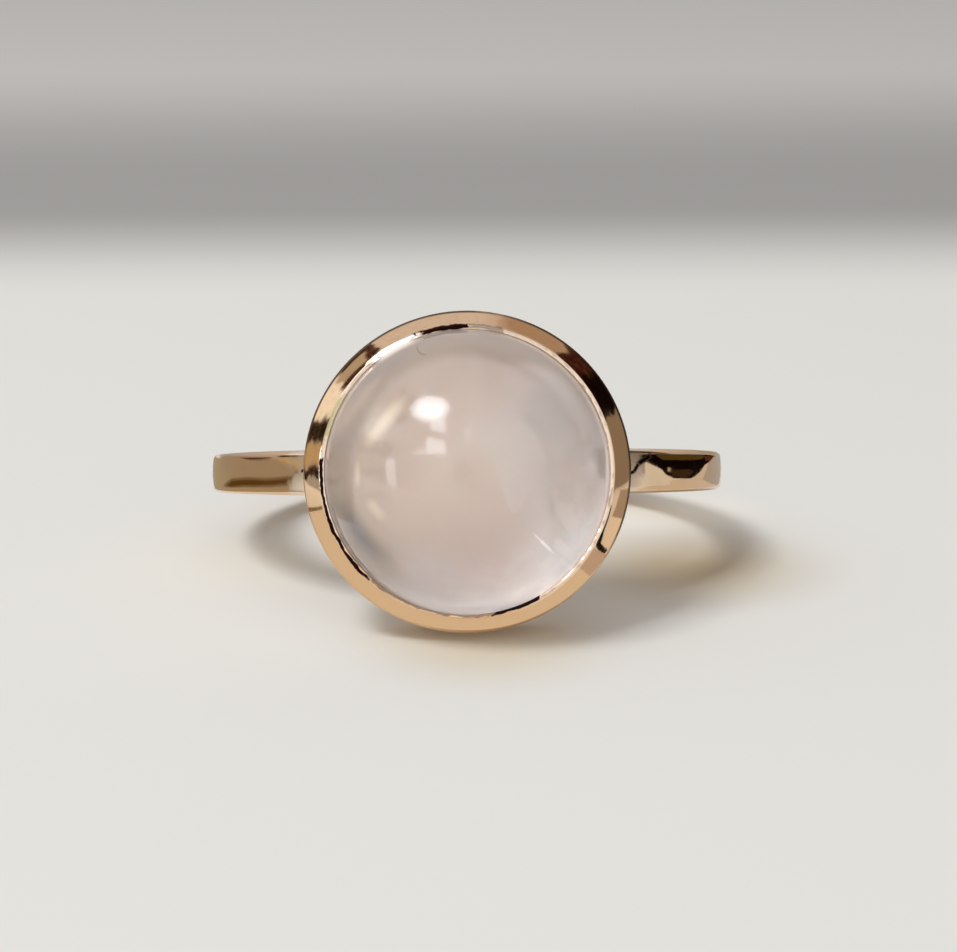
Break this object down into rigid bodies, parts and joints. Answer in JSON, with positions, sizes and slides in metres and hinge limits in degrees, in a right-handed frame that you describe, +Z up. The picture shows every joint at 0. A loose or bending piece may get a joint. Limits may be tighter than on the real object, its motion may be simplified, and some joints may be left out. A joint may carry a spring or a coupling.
{
  "type": "ring with a bezel-set cabochon",
  "caption": "Slim rose gold finger ring, with a round rose quartz cabochon in a plain bevelled bezel cup, lying on its side.",
  "frame": {"origin": "on the surface that the ring lies on, below the middle of its overall length and width", "axes": "+Z up from the surface; the stone faces -Y and a little up; +X across the ring"},
  "size_m": [0.0192, 0.0234, 0.011],
  "materials": {
    "rose_gold": "polished rose gold, with fine wear and hand-burnished edges",
    "rose_quartz": "polished milky quartz, pale pink and translucent"
  },
  "bodies": {
    "root": {"band_and_bezel": "rose_gold", "cabochon": "rose_quartz"}
  },
  "joints": []
}
